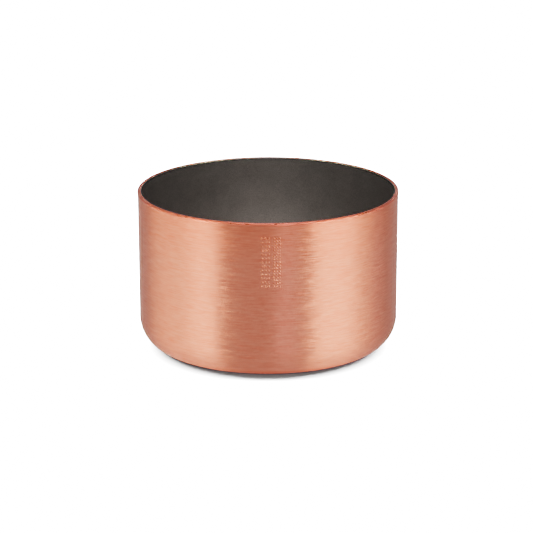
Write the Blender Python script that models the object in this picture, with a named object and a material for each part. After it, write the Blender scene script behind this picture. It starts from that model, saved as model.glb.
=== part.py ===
"""A round, straight-sided copper pot body with no handle: a brushed copper shell, a thin steel
lining bonded inside it, and a dark non-stick coating on the lining. Metres, +Z up, standing on z = 0."""

import math

import bmesh
import bpy

# Outer shape of the pot.
LIP_DIAMETER = 0.140
HEIGHT = 0.086
CORNER_RADIUS = 0.016
WALL_DRAFT = math.radians(0.5)  # the wall leans out this much towards the rim

# The rounded lip of the rim, which stands a little proud of the wall.
LIP_PROUD = 0.0003
LIP_DEPTH = 0.0024  # from the top of the rim down to where the lip has run out into the wall
LIP_INNER_ROUND = 0.0003
LIP_FLAT = 0.0001  # width of the land left on top between the lip's two rounds

# The layers, from the outside in, and the gap that stands for the bond between two of them.
COPPER_THICKNESS = 0.0012
LINING_THICKNESS = 0.0003
COATING_THICKNESS = 0.0002
BOND_GAP = 0.0003

# How far below the top of the rim each inner layer ends.
LINING_STEP_DOWN = 0.0002
COATING_STEP_DOWN = 0.0006

# Smoothness of the turned surfaces.
STEPS_AROUND = 72
CORNER_STEPS = 7
ROUND_STEPS = 3

# Depths of each layer's faces below the pot's outer surface.
LINING_OUTSIDE = COPPER_THICKNESS + BOND_GAP
LINING_INSIDE = LINING_OUTSIDE + LINING_THICKNESS
COATING_OUTSIDE = LINING_INSIDE + BOND_GAP
COATING_INSIDE = COATING_OUTSIDE + COATING_THICKNESS

# Radius, on the wall's line at the rim, that puts the lip's widest point at its diameter.
RIM_WALL_RADIUS = LIP_DIAMETER / 2 - LIP_PROUD


def corner_centre_radius():
    """Distance from the pot's axis to the centre of the bottom corner's arc."""
    up_the_wall = HEIGHT - CORNER_RADIUS + CORNER_RADIUS * math.sin(WALL_DRAFT)
    wall_at_corner = RIM_WALL_RADIUS - up_the_wall * math.tan(WALL_DRAFT)
    return wall_at_corner - CORNER_RADIUS * math.cos(WALL_DRAFT)


def wall_radius(depth, height):
    """Radius of the wall's face at this depth below the outer surface, at a height above the corner."""
    arc = CORNER_RADIUS - depth
    up_the_wall = height - CORNER_RADIUS + arc * math.sin(WALL_DRAFT)
    return corner_centre_radius() + arc * math.cos(WALL_DRAFT) + up_the_wall * math.tan(WALL_DRAFT)


def cup_face(depth, top):
    """The (radius, height) points of one face of the cup, from the axis out along the floor, round the
    corner and up the wall to the height top."""
    corner = corner_centre_radius()
    arc = CORNER_RADIUS - depth
    points = [(0, depth)]
    for step in range(CORNER_STEPS + 1):
        turn = step / CORNER_STEPS * (math.pi / 2 - WALL_DRAFT)
        points.append((corner + arc * math.sin(turn), CORNER_RADIUS - arc * math.cos(turn)))
    points.append((wall_radius(depth, top), top))
    return points


def quarter_round(centre, radius, start_angle):
    """Points of a quarter circle turning from start_angle, in degrees, towards larger angles."""
    points = []
    for step in range(ROUND_STEPS + 1):
        angle = math.radians(start_angle + 90 * step / ROUND_STEPS)
        points.append((centre[0] + radius * math.cos(angle), centre[1] + radius * math.sin(angle)))
    return points


def turned(name, outline, material):
    """A solid of revolution about Z: the outline runs from the axis, round the section, back to the axis."""
    shape = bmesh.new()
    verts = [shape.verts.new((radius, 0, height)) for radius, height in outline]
    edges = [shape.edges.new(pair) for pair in zip(verts, verts[1:])]
    bmesh.ops.spin(
        shape,
        geom=verts + edges,
        cent=(0, 0, 0),
        axis=(0, 0, 1),
        angle=2 * math.pi,
        steps=STEPS_AROUND,
        use_merge=True,
    )
    bmesh.ops.remove_doubles(shape, verts=shape.verts, dist=1e-6)
    bmesh.ops.recalc_face_normals(shape, faces=shape.faces)
    mesh = bpy.data.meshes.new(name)
    shape.to_mesh(mesh)
    shape.free()
    mesh.shade_smooth()
    mesh.set_sharp_from_angle(angle=math.radians(40))
    mesh.materials.append(material)
    obj = bpy.data.objects.new(name, mesh)
    bpy.context.scene.collection.objects.link(obj)
    return obj


def surface(name, colour, roughness, metallic):
    """A plain Principled material."""
    material = bpy.data.materials.new(name)
    material.use_nodes = True
    shader = material.node_tree.nodes["Principled BSDF"]
    shader.inputs["Base Color"].default_value = (*colour, 1)
    shader.inputs["Roughness"].default_value = roughness
    shader.inputs["Metallic"].default_value = metallic
    return material


def copper_shell():
    """The drawn copper cup that is seen from outside, with the rounded lip of its rim."""
    lip_radius = LIP_DIAMETER / 2
    inner_radius = wall_radius(COPPER_THICKNESS, HEIGHT)
    outer_round = lip_radius - inner_radius - LIP_INNER_ROUND - LIP_FLAT
    outer_centre = (lip_radius - outer_round, HEIGHT - outer_round)
    inner_centre = (inner_radius + LIP_INNER_ROUND, HEIGHT - LIP_INNER_ROUND)
    lip = quarter_round(outer_centre, outer_round, 0) + quarter_round(inner_centre, LIP_INNER_ROUND, 90)
    outside = cup_face(0, HEIGHT - LIP_DEPTH)
    inside = cup_face(COPPER_THICKNESS, HEIGHT - LIP_DEPTH)
    material = surface("brushed_copper", (0.84, 0.42, 0.29), 0.32, 1)
    return turned("copper_shell", outside + lip + inside[::-1], material)


def lining_layer(name, outside_depth, inside_depth, step_down, material):
    """A thin cup that lies inside the copper and ends a little below the top of the rim."""
    top = HEIGHT - step_down
    outline = cup_face(outside_depth, top) + cup_face(inside_depth, top)[::-1]
    return turned(name, outline, material)


def steel_lining():
    material = surface("satin_steel", (0.72, 0.70, 0.68), 0.3, 1)
    return lining_layer("steel_lining", LINING_OUTSIDE, LINING_INSIDE, LINING_STEP_DOWN, material)


def nonstick_coating():
    material = surface("dark_nonstick", (0.045, 0.040, 0.036), 0.5, 0)
    return lining_layer("nonstick_coating", COATING_OUTSIDE, COATING_INSIDE, COATING_STEP_DOWN, material)


for leftover in list(bpy.data.objects):
    bpy.data.objects.remove(leftover)

pot = bpy.data.objects.new("pot", None)
bpy.context.scene.collection.objects.link(pot)
for layer in (copper_shell(), steel_lining(), nonstick_coating()):
    layer.parent = pot
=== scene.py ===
import math

import bmesh
import bpy
from mathutils import Matrix, Vector


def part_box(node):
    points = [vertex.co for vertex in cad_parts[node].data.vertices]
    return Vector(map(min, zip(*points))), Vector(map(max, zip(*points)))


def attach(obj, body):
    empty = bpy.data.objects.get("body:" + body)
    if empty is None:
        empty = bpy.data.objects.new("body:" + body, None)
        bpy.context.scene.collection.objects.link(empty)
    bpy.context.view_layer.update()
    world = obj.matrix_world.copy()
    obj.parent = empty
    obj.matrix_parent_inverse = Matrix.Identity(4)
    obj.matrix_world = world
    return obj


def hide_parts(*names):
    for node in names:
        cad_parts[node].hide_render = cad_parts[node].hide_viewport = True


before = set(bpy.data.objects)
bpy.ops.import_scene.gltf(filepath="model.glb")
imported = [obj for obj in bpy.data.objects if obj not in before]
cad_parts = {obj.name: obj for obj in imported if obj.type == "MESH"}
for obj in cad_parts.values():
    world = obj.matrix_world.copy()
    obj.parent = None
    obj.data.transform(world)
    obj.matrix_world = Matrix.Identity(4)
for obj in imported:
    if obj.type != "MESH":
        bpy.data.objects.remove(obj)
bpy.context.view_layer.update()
print("frame loaded")

mm = 0.001  # sizes below are given in millimetres times this

# The pot's main measures come from the frame.
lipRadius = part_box("copper_shell")[1].x
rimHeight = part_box("copper_shell")[1].z
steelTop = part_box("steel_lining")[1].z
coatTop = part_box("nonstick_coating")[1].z


class Wire:
    # wraps one node output; arithmetic on it adds Math nodes
    def __init__(self, tree, out=None):
        self.tree = tree
        self.out = out

    def add(self, kind, settings=None, sockets=None, output=0):
        # one node: its settings first, then its sockets' values or links; gives back one output
        node = self.tree.nodes.new(kind)
        for key, value in (settings or {}).items():
            setattr(node, key, value)
        self.plug(node, sockets or {})
        return Wire(self.tree, node.outputs[output])

    def plug(self, node, sockets):
        for key, value in sockets.items():
            if isinstance(value, Wire):
                self.tree.links.new(value.out, node.inputs[key])
            else:
                node.inputs[key].default_value = value

    def maths(self, operation, first, second):
        return self.add("ShaderNodeMath", {"operation": operation}, {0: first, 1: second})

    def __add__(self, other):
        return self.maths("ADD", self, other)

    def __radd__(self, other):
        return self.maths("ADD", other, self)

    def __sub__(self, other):
        return self.maths("SUBTRACT", self, other)

    def __rsub__(self, other):
        return self.maths("SUBTRACT", other, self)

    def __mul__(self, other):
        return self.maths("MULTIPLY", self, other)

    def __rmul__(self, other):
        return self.maths("MULTIPLY", other, self)

    def __truediv__(self, other):
        return self.maths("DIVIDE", self, other)

    def __rtruediv__(self, other):
        return self.maths("DIVIDE", other, self)

    def ramp(self, value, low, high):
        # 0 where the value is at or under low, 1 where it is at or over high
        return self.add("ShaderNodeMapRange", {"clamp": True}, {0: value, 1: low, 2: high})

    def vector(self, operation, *inputs):
        sockets = dict(enumerate(inputs))
        return self.add("ShaderNodeVectorMath", {"operation": operation}, sockets)

    def scaled(self, vector, size):
        sockets = {0: vector, "Scale": size}
        return self.add("ShaderNodeVectorMath", {"operation": "SCALE"}, sockets)

    def tint(self, first, second):
        # blends two colours by this wire: the first where it is 0, the second where it is 1
        settings = {"data_type": "RGBA", "clamp_factor": True}
        sockets = {"Factor": self, 6: first, 7: second}
        return self.add("ShaderNodeMix", settings, sockets, 2)


def solid(colour):
    return (*colour, 1)


def newMaterial(name):
    material = bpy.data.materials.new(name)
    material.use_nodes = True
    shader = material.node_tree.nodes["Principled BSDF"]
    return material, shader, Wire(material.node_tree)


def places(wire):
    # where a point of the surface lies, in metres; "away" is its distance from the pot's axis
    point = wire.add("ShaderNodeTexCoord", output="Object")
    split = wire.add("ShaderNodeSeparateXYZ", sockets={0: point}).out.node
    x, y, height = (Wire(wire.tree, out) for out in split.outputs)
    flat = wire.add("ShaderNodeCombineXYZ", sockets={0: x, 1: y, 2: 0.0})
    away = wire.add("ShaderNodeVectorMath", {"operation": "LENGTH"}, {0: flat}, "Value")
    return {"point": point, "x": x, "y": y, "height": height, "away": away}


def turnedNoise(wire, where, wide, long, shift=0.0, detail=2.0):
    # noise drawn out round the pot's axis, as a belt or a turning tool leaves it
    across = (where["height"] + where["away"]) / wide + shift
    sockets = {0: where["x"] / long, 1: where["y"] / long, 2: across}
    stretched = wire.add("ShaderNodeCombineXYZ", sockets=sockets)
    sockets = {"Vector": stretched, "Scale": 1.0, "Detail": detail, "Roughness": 0.55}
    return wire.add("ShaderNodeTexNoise", sockets=sockets)


def grainNoise(wire, where, size):
    sockets = {"Vector": where["point"], "Scale": 1.0 / size, "Detail": 2.0, "Roughness": 0.6}
    return wire.add("ShaderNodeTexNoise", sockets=sockets)


copperFinish = {
    "pale": (0.96, 0.403, 0.281),
    "deep": (0.865, 0.297, 0.201),
    "contrast": 4.6,  # how sharply the streaks part the pale colour from the deep one
    "foot": (0.80, 0.17, 0.09),  # painted shade: a deeper, redder colour where the corner nears the table
    "paintedFootShadeHeight": (1.7 * mm, 4.4 * mm),
    # the lip's colour is painted shade: deeper and redder on the rim's top
    "lip": (0.94, 0.27, 0.18),
    "lipPolishAndShadeHeight": (rimHeight - 1.1 * mm, rimHeight - 0.7 * mm),
    "paintedRimReflectionTint": (0.99, 0.92, 0.87),  # painted reflection tone: the wall is tinted a little warmer toward the rim
    "paintedRimReflectionTintHeight": (rimHeight - 26 * mm, rimHeight - 3 * mm),
    "roughness": 0.42,
    "lipRoughness": 0.3,
    "unevenness": 0.26,  # how much the streaks change the roughness
    "anisotropy": 0.96,
    "grooveTurn": 0.25,  # the grooves run round the pot
    "fine": (0.22 * mm, 5 * mm),  # width and length of the finest streaks
    "medium": (0.4 * mm, 9 * mm),
    "broad": (2.5 * mm, 30 * mm),
    "streakShares": (0.4, 0.55, 0.05),  # of fine, medium and broad streaks in the colour
    "scratchShares": (0.35, 0.65),  # of fine and medium streaks in the relief
    "scratchDepth": 0.012 * mm,
    "ends": (0.36 * mm, 7 * mm),  # width and length of the streaks' ends
    "swing": 0.4,  # how far they turn the surface sideways
}


def brushedCopper():
    finish = copperFinish
    material, shader, wire = newMaterial("copper_finish")
    where = places(wire)
    height = where["height"]

    # each noise has a shift of its own, so that no two line up
    fine = turnedNoise(wire, where, *finish["fine"])
    medium = turnedNoise(wire, where, *finish["medium"], shift=31.0)
    broad = turnedNoise(wire, where, *finish["broad"], shift=77.0)
    fineShare, mediumShare, broadShare = finish["streakShares"]
    streaks = fine * fineShare + medium * mediumShare + broad * broadShare

    # the lip is smoother, and its colour carries painted shade
    onLipPolishAndShade = wire.ramp(height, *finish["lipPolishAndShadeHeight"])
    onPaintedFootShade = 1 - wire.ramp(height, *finish["paintedFootShadeHeight"])
    rough = finish["roughness"] + (streaks - 0.5) * finish["unevenness"]
    rough = rough - onLipPolishAndShade * (finish["roughness"] - finish["lipRoughness"])

    shade = (streaks - 0.5) * finish["contrast"] + 0.5
    colour = shade.tint(solid(finish["deep"]), solid(finish["pale"]))
    # painted reflection tone: the wall is tinted warmer toward the rim
    paintedReflectionWarmer = wire.vector("MULTIPLY", colour, finish["paintedRimReflectionTint"])
    colour = wire.ramp(height, *finish["paintedRimReflectionTintHeight"]).tint(colour, paintedReflectionWarmer)
    # painted shade: the corner turns deeper and redder toward the table
    colour = onPaintedFootShade.tint(colour, solid(finish["foot"]))
    # painted shade: the lip takes a deeper, redder colour than the wall
    colour = onLipPolishAndShade.tint(colour, solid(finish["lip"]))

    # the streaks' ends tip the surface a little to either side, round the pot
    facing = wire.add("ShaderNodeNewGeometry", output="Normal")
    sideways = wire.add("ShaderNodeCombineXYZ", sockets={0: where["y"] * -1, 1: where["x"], 2: 0.0})
    sideways = wire.vector("NORMALIZE", sideways)
    swing = turnedNoise(wire, where, *finish["ends"], shift=53.0, detail=3.0)
    swing = (swing - 0.5) * finish["swing"]
    tipped = wire.vector("NORMALIZE", wire.vector("ADD", facing, wire.scaled(sideways, swing)))

    fineShare, mediumShare = finish["scratchShares"]
    bump = wire.add("ShaderNodeBump", sockets={
        "Strength": 1.0,
        "Distance": finish["scratchDepth"],
        "Height": fine * fineShare + medium * mediumShare,
        "Normal": tipped,
    })
    wire.plug(shader, {
        "Base Color": colour,
        "Metallic": 1.0,
        "Roughness": rough,
        "Anisotropic": finish["anisotropy"],
        "Anisotropic Rotation": finish["grooveTurn"],
        "Normal": bump,
    })
    return material


steelFinish = {
    "colour": (0.66, 0.63, 0.60),
    "roughness": 0.3,
    "unevenness": 0.15,  # how much the streaks change the roughness
    "streak": (0.2 * mm, 9 * mm),
    "scratchDepth": 0.008 * mm,
}


def satinSteel():
    finish = steelFinish
    material, shader, wire = newMaterial("steel_finish")
    streaks = turnedNoise(wire, places(wire), *finish["streak"])
    bump = wire.add("ShaderNodeBump", sockets={
        "Strength": 1.0,
        "Distance": finish["scratchDepth"],
        "Height": streaks,
    })
    wire.plug(shader, {
        "Base Color": solid(finish["colour"]),
        "Metallic": 1.0,
        "Roughness": finish["roughness"] + (streaks - 0.5) * finish["unevenness"],
        "Normal": bump,
    })
    return material


coatFinish = {
    "pale": (0.215, 0.203, 0.195),
    "dark": (0.145, 0.137, 0.131),
    "edge": (0.045, 0.044, 0.043),  # painted shade: the dark line where the coat ends below the rim
    "paintedEdgeShadeHeight": (coatTop - 0.36 * mm, coatTop - 0.21 * mm),
    "metal": 0.5,
    "roughness": 0.5,
    "unevenness": 0.08,  # how much the mottle changes the roughness
    "grain": 0.5 * mm,
    "grainContrast": 2.2,
    "mottle": 9 * mm,
    "mottleContrast": 0.5,
    "peel": 0.012 * mm,  # height of the sprayed coat's faint orange peel
}


def darkNonstick():
    finish = coatFinish
    material, shader, wire = newMaterial("coating_finish")
    where = places(wire)
    grain = grainNoise(wire, where, finish["grain"])
    mottle = grainNoise(wire, where, finish["mottle"])
    shade = (grain - 0.5) * finish["grainContrast"] + (mottle - 0.5) * finish["mottleContrast"] + 0.5
    plain = shade.tint(solid(finish["dark"]), solid(finish["pale"]))
    # painted shade: a dark line along the coat's top edge
    onPaintedEdgeShade = wire.ramp(where["height"], *finish["paintedEdgeShadeHeight"])
    bump = wire.add("ShaderNodeBump", sockets={
        "Strength": 1.0,
        "Distance": finish["peel"],
        "Height": grain,
    })
    wire.plug(shader, {
        "Base Color": onPaintedEdgeShade.tint(plain, solid(finish["edge"])),
        "Metallic": finish["metal"],
        "Roughness": finish["roughness"] + (mottle - 0.5) * finish["unevenness"],
        "Normal": bump,
    })
    return material


# What the three layers share.
pot = {
    "corner": 16.8 * mm,  # outside radius where the wall turns into the bottom
    "lean": math.radians(0.5),  # the wall opens out by this much
    "lipProud": 0.2 * mm,  # how far the lip stands past the wall's line
    "stepsRound": 192,
    "cornerSteps": 22,
    "floorRings": 6,
    "wallRows": 10,
    "mergeWithin": 0.0005 * mm,
    "sharpFrom": math.radians(35),
}
rimWall = lipRadius - pot["lipProud"]  # the wall's own line, carried up to the rim


def cornerCentre():
    up = rimHeight - pot["corner"] + pot["corner"] * math.sin(pot["lean"])
    return rimWall - up * math.tan(pot["lean"]) - pot["corner"] * math.cos(pot["lean"])


def wallRadius(depth, height):
    # radius of the wall's face that lies this deep below the outside, at a height above the corner
    arc = pot["corner"] - depth
    up = height - pot["corner"] + arc * math.sin(pot["lean"])
    return cornerCentre() + arc * math.cos(pot["lean"]) + up * math.tan(pot["lean"])


def cupFace(depth, top):
    # (radius, height) points of one face: along the floor, round the corner, up the wall
    centre = cornerCentre()
    arc = pot["corner"] - depth
    points = [(centre * ring / pot["floorRings"], depth) for ring in range(pot["floorRings"])]
    for step in range(pot["cornerSteps"] + 1):
        turn = step / pot["cornerSteps"] * (math.pi / 2 - pot["lean"])
        points.append((centre + arc * math.sin(turn), pot["corner"] - arc * math.cos(turn)))
    start = points[-1][1]
    for row in range(1, pot["wallRows"] + 1):
        height = start + (top - start) * row / pot["wallRows"]
        points.append((wallRadius(depth, height), height))
    return points


def arcPoints(centre, wide, tall, start, end, steps):
    # points of an ellipse's arc, from the start angle to the end angle in degrees
    points = []
    for step in range(steps + 1):
        angle = math.radians(start + (end - start) * step / steps)
        points.append((centre[0] + wide * math.cos(angle), centre[1] + tall * math.sin(angle)))
    return points


def innerRound(depth, top, size, steps):
    # the small round that turns a layer's top edge down into its inner face
    return arcPoints((wallRadius(depth, top) + size, top - size), size, size, 90, 180, steps)


def turnShape(outline):
    # a solid of revolution about the pot's axis
    shape = bmesh.new()
    verts = [shape.verts.new((radius, 0, height)) for radius, height in outline]
    edges = [shape.edges.new(pair) for pair in zip(verts, verts[1:])]
    bmesh.ops.spin(
        shape,
        geom=verts + edges,
        cent=(0, 0, 0),
        axis=(0, 0, 1),
        angle=2 * math.pi,
        steps=pot["stepsRound"],
        use_merge=True,
    )
    bmesh.ops.remove_doubles(shape, verts=shape.verts, dist=pot["mergeWithin"])
    bmesh.ops.recalc_face_normals(shape, faces=shape.faces)
    return shape


def placePiece(shape, name, node, material):
    mesh = bpy.data.meshes.new(name)
    shape.to_mesh(mesh)
    shape.free()
    mesh.shade_smooth()
    mesh.set_sharp_from_angle(angle=pot["sharpFrom"])
    mesh.materials.append(material)
    piece = bpy.data.objects.new(name, mesh)
    bpy.context.scene.collection.objects.link(piece)
    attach(piece, "root")
    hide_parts(node)
    print(name, len(mesh.polygons), "faces")
    return piece


# A plain knurled stamp near the rim: columns of small raised pips.
stamp = {
    "top": 7.8 * mm,  # below the rim
    "length": 26 * mm,
    "proud": 0.16 * mm,
    "sunk": 0.12 * mm,
    # each column's distance to the right of the front, its pips' size, and its rows
    "columns": (
        (-3.2 * mm, 1.5 * mm, 13),
        (-1.5 * mm, 1.5 * mm, 13),
        (0.2 * mm, 1.5 * mm, 13),
        (3.1 * mm, 1.2 * mm, 17),
        (4.6 * mm, 1.2 * mm, 17),
        (6.1 * mm, 1.2 * mm, 17),
    ),
    "flatness": 4,  # a higher power gives a flatter top and steeper sides
    "rings": 3,
    "sides": 10,
}


def addPip(shape, aside, middle, size):
    # a low dome that starts inside the copper and stands proud of the wall
    rise = stamp["sunk"] + stamp["proud"]

    def domePoint(share, angle):
        z = middle + size / 2 * share * math.sin(angle)
        turn = (aside + size / 2 * share * math.cos(angle)) / rimWall
        radius = wallRadius(0, z) - stamp["sunk"] + rise * (1 - share ** stamp["flatness"])
        return shape.verts.new((radius * math.sin(turn), -radius * math.cos(turn), z))

    angles = [2 * math.pi * side / stamp["sides"] for side in range(stamp["sides"])]
    top = domePoint(0, 0)
    inner = None
    for ring in range(1, stamp["rings"] + 1):
        outer = [domePoint(ring / stamp["rings"], angle) for angle in angles]
        for side in range(stamp["sides"]):
            following = (side + 1) % stamp["sides"]
            if inner:
                shape.faces.new((inner[side], outer[side], outer[following], inner[following]))
            else:
                shape.faces.new((top, outer[side], outer[following]))
        inner = outer
    shape.faces.new(inner[::-1])


def addStamp(shape):
    for aside, size, rows in stamp["columns"]:
        for row in range(rows):
            middle = rimHeight - stamp["top"] - stamp["length"] * row / (rows - 1)
            addPip(shape, aside, middle, size)


copper = {
    "thick": 1.78 * mm,
    "lipRound": 0.75 * mm,
    "lipSteps": 10,
    "lipRun": 0.7 * mm,  # from the lip's widest point down to the wall
    "runSteps": 6,
    "edge": 0.08 * mm,  # the small round on the inner side of the lip
    "edgeSteps": 3,
    "innerTop": 2 * mm,  # the inner face's last row, below the rim
}


def copperShell():
    lip = copper["lipRound"]
    widest = rimHeight - lip
    foot = widest - copper["lipRun"]
    swell = lipRadius - wallRadius(0, foot)
    outline = cupFace(0, foot)
    outline += arcPoints(
        (lipRadius - swell, widest), swell, copper["lipRun"], -90, 0, copper["runSteps"],
    )[1:]
    outline += arcPoints((lipRadius - lip, widest), lip, lip, 0, 90, copper["lipSteps"])[1:]
    outline += innerRound(copper["thick"], rimHeight, copper["edge"], copper["edgeSteps"])
    outline += cupFace(copper["thick"], rimHeight - copper["innerTop"])[::-1]
    shape = turnShape(outline)
    addStamp(shape)
    return placePiece(shape, "copper_body", "copper_shell", brushedCopper())


steel = {
    "from": 1.79 * mm,  # below the pot's outside
    "to": 1.92 * mm,
    "edge": 0.048 * mm,
    "edgeSteps": 3,
    "innerTop": 1 * mm,  # the inner face's last row, below the steel's top
}


def steelLining():
    outline = cupFace(steel["from"], steelTop)
    outline += innerRound(steel["to"], steelTop, steel["edge"], steel["edgeSteps"])
    outline += cupFace(steel["to"], steelTop - steel["innerTop"])[::-1]
    return placePiece(turnShape(outline), "lining", "steel_lining", satinSteel())


coat = {
    "from": 1.93 * mm,  # below the pot's outside
    "to": 2.65 * mm,
    "roll": 0.16 * mm,  # the round where the sprayed coat ends
    "rollSteps": 6,
    "backTop": 0.02 * mm,  # the face against the steel ends this far below the coat's top
    "innerTop": 1 * mm,  # the inner face's last row, below the coat's top
}


def nonstickCoating():
    outline = cupFace(coat["from"], coatTop - coat["backTop"])
    outline += innerRound(coat["to"], coatTop, coat["roll"], coat["rollSteps"])
    outline += cupFace(coat["to"], coatTop - coat["innerTop"])[::-1]
    shape = turnShape(outline)
    return placePiece(shape, "coating", "nonstick_coating", darkNonstick())


# The lights are linked to these collections.
metalOnly = bpy.data.collections.new("metalOnly")
metalOnly.objects.link(copperShell())
metalOnly.objects.link(steelLining())
coatOnly = bpy.data.collections.new("coatOnly")
coatOnly.objects.link(nonstickCoating())


view = {
    "distance": 2.1,
    "above": math.radians(16.1),  # how far the camera looks down
    "lens": 263.6,
    "sensor": 36,
    "aim": Vector((0, 0, 0.042)),
    "across": 0.88 * mm,  # moves the pot right in the view
    "upward": -0.92 * mm,  # moves the pot up in the view
    "roll": math.radians(-0.12),
}


def addCamera():
    forward = Vector((0, math.cos(view["above"]), -math.sin(view["above"])))
    right = Vector((1, 0, 0))
    up = right.cross(forward)
    place = view["aim"] - forward * view["distance"] - right * view["across"] - up * view["upward"]
    tipCos, tipSin = math.cos(view["roll"]), math.sin(view["roll"])
    tippedRight = right * tipCos + up * tipSin
    tippedUp = up * tipCos - right * tipSin
    data = bpy.data.cameras.new("camera")
    data.lens = view["lens"]
    data.sensor_width = view["sensor"]
    camera = bpy.data.objects.new("camera", data)
    turn = Matrix((tippedRight, tippedUp, -forward)).transposed()
    camera.matrix_world = Matrix.Translation(place) @ turn.to_4x4()
    bpy.context.scene.collection.objects.link(camera)
    bpy.context.scene.camera = camera


addCamera()
print("camera placed")


floorLook = {
    "reach": 4.0,
    "cells": 8,
    "drop": 0.05 * mm,  # keeps the floor just clear of the pot's underside
    "seen": 0.05,  # its paleness to the camera, under its own strong lights
    "glow": 0.09,
    "given": 0.52,  # the light that it gives back to the pot
    # strength, spread, and tip to the right, in degrees
    "suns": ((50, 60, 0), (12, 100, 0), (140, 60, 32), (140, 60, -32), (7, 170, 0)),
    "sunHeight": 2,
    "sunsBack": math.radians(11),  # tipped so that they shine a little toward the front
}


def addFloor():
    shape = bmesh.new()
    cells = floorLook["cells"]
    bmesh.ops.create_grid(shape, x_segments=cells, y_segments=cells, size=floorLook["reach"])
    mesh = bpy.data.meshes.new("floor")
    shape.to_mesh(mesh)
    shape.free()
    material = bpy.data.materials.new("floor_white")
    material.use_nodes = True
    wire = Wire(material.node_tree)
    material.node_tree.nodes.remove(material.node_tree.nodes["Principled BSDF"])
    shown = solid([floorLook["seen"]] * 3)
    plain = wire.add("ShaderNodeEmission", sockets={"Strength": floorLook["given"]})
    lit = wire.add("ShaderNodeBsdfDiffuse", sockets={"Color": shown})
    glow = wire.add("ShaderNodeEmission", sockets={"Strength": floorLook["glow"]})
    bright = wire.add("ShaderNodeAddShader", sockets={0: lit, 1: glow})
    seen = wire.add("ShaderNodeLightPath", output="Is Camera Ray")
    mixed = wire.add("ShaderNodeMixShader", sockets={0: seen, 1: plain, 2: bright})
    wire.plug(material.node_tree.nodes["Material Output"], {"Surface": mixed})
    material.cycles.emission_sampling = "NONE"
    mesh.materials.append(material)
    floor = bpy.data.objects.new("floor", mesh)
    floor.location.z = -floorLook["drop"]
    floor.visible_shadow = False  # the upright lights reach the pot through it
    bpy.context.scene.collection.objects.link(floor)
    return floor


def addFloorLights(floorOnly):
    # soft skies for the floor alone, so that the pot's shadow is short and neutral
    for number, (strength, spread, tip) in enumerate(floorLook["suns"]):
        data = bpy.data.lights.new("floorSky%d" % number, "SUN")
        data.energy = strength * math.pi
        data.angle = math.radians(spread)
        light = bpy.data.objects.new(data.name, data)
        light.location.z = floorLook["sunHeight"]
        light.rotation_euler = (-floorLook["sunsBack"], math.radians(tip), 0)
        light.light_linking.receiver_collection = floorOnly
        bpy.context.scene.collection.objects.link(light)


studio = {
    "ambient": 0.35,  # the world's strength as the pot sees it
    "white": 6.0,  # and as the camera sees it
    "plain": (1, 1, 1),
    "warm": (1.0, 1.06, 0.67),
    "warmFrom": 0.5,  # upright lights over this level are warm
    "reach": 0.9,  # how far the upright lights stand from the pot
    "tall": (-0.95, 1.5),  # they run on below the table, which does not block them
}

# Upright soft lights round the pot: the angles run from the front, left negative, in degrees.
uprights = {
    "leftBand": {"span": (-70, -48), "level": 1.55},
    "leftShoulder": {"span": (-48, -42.5), "level": 1.12},
    "leftEdge": {"span": (-81, -70), "level": 0.95},
    "leftSide": {"span": (-105, -81), "level": 0.75},
    "leftFar": {"span": (-122, -105), "level": 0.54},
    "backLeft": {"span": (-160, -126), "level": 0.04},
    "rightBand": {"span": (38.2, 77), "level": 1.55},
    "rightShoulder": {"span": (77, 86), "level": 1.1},
    "rightSide": {"span": (86, 100), "level": 0.6},
    "rightFar": {"span": (100, 116), "level": 0.22},
    "frontRight": {"span": (6, 24), "level": 0.4},
    "frontRightEdge": {"span": (24, 38.2), "level": 0.17},
    "frontLeft": {"span": (-41, 5), "level": 0.12},
    "back": {"span": (160, 200), "level": 0.06},
}

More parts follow.
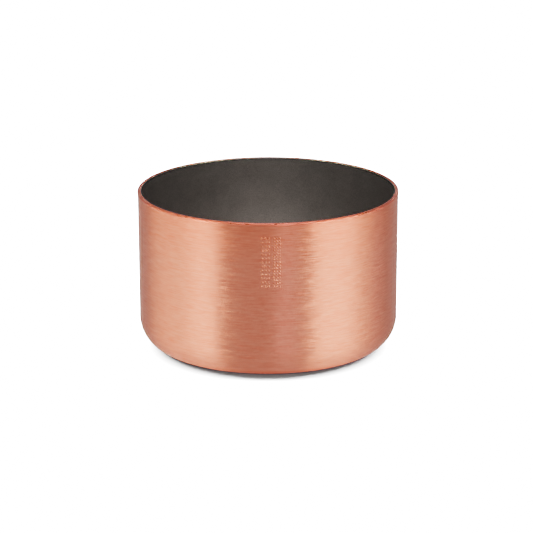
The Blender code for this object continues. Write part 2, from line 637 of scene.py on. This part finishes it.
# Square soft lights: one above for the metal, and two for the coating, of which one glows
# up from the inside of the pot's floor.
squares = {
    "overhead": {
        "place": (0, 0.1, 1.6), "toward": (0, 0, 0), "size": 0.9, "level": 1.6,
        "colour": (1, 1, 1), "onto": metalOnly,
    },
    "inside": {
        "place": (0, -0.9, 1.0), "toward": (0, 0, 0), "size": 0.4, "level": 14,
        "colour": (1, 0.925, 0.88), "onto": coatOnly,
    },
    "glow": {
        "place": (0, 0, 0.006), "toward": (0, 0.02, 0.1), "size": 0.03, "level": 12,
        "colour": (1, 0.925, 0.88), "onto": coatOnly,
    },
}


def addWorld():
    world = bpy.data.worlds.new("studio")
    world.use_nodes = True
    bpy.context.scene.world = world
    wire = Wire(world.node_tree)
    seen = wire.add("ShaderNodeLightPath", output="Is Camera Ray")
    strength = studio["ambient"] + seen * (studio["white"] - studio["ambient"])
    wire.plug(world.node_tree.nodes["Background"], {"Color": (1, 1, 1, 1), "Strength": strength})


def addLight(name, place, toward, width, height, level, colour, onto):
    data = bpy.data.lights.new(name, "AREA")
    data.shape = "RECTANGLE"
    data.size = width
    data.size_y = height
    data.energy = math.pi * width * height * level
    data.color = colour
    # with this off the metal is lit by shadow rays alone, and those pass through the floor
    data.cycles.use_multiple_importance_sampling = onto is not metalOnly
    light = bpy.data.objects.new(name, data)
    light.location = place
    light.rotation_euler = (toward - place).to_track_quat("-Z", "Y").to_euler()
    light.visible_camera = False
    light.light_linking.receiver_collection = onto
    bpy.context.scene.collection.objects.link(light)


def addLights():
    reach = studio["reach"]
    low, high = studio["tall"]
    middle, tall = (low + high) / 2, high - low
    for name, strip in uprights.items():
        start, end = (math.radians(angle) for angle in strip["span"])
        aim = (start + end) / 2
        place = Vector((reach * math.sin(aim), -reach * math.cos(aim), middle))
        width = 2 * reach * math.tan((end - start) / 2)
        level = strip["level"]
        colour = studio["warm"] if level > studio["warmFrom"] else studio["plain"]
        addLight(name, place, Vector((0, 0, middle)), width, tall, level, colour, metalOnly)
    for name, lamp in squares.items():
        place, toward = Vector(lamp["place"]), Vector(lamp["toward"])
        size, level = lamp["size"], lamp["level"]
        addLight(name, place, toward, size, size, level, lamp["colour"], lamp["onto"])


floorOnly = bpy.data.collections.new("floorOnly")
floorOnly.objects.link(addFloor())
addFloorLights(floorOnly)
addWorld()
addLights()
bpy.context.scene.view_settings.view_transform = "AgX"
bpy.context.scene.view_settings.look = "AgX - High Contrast"
print("studio lit")
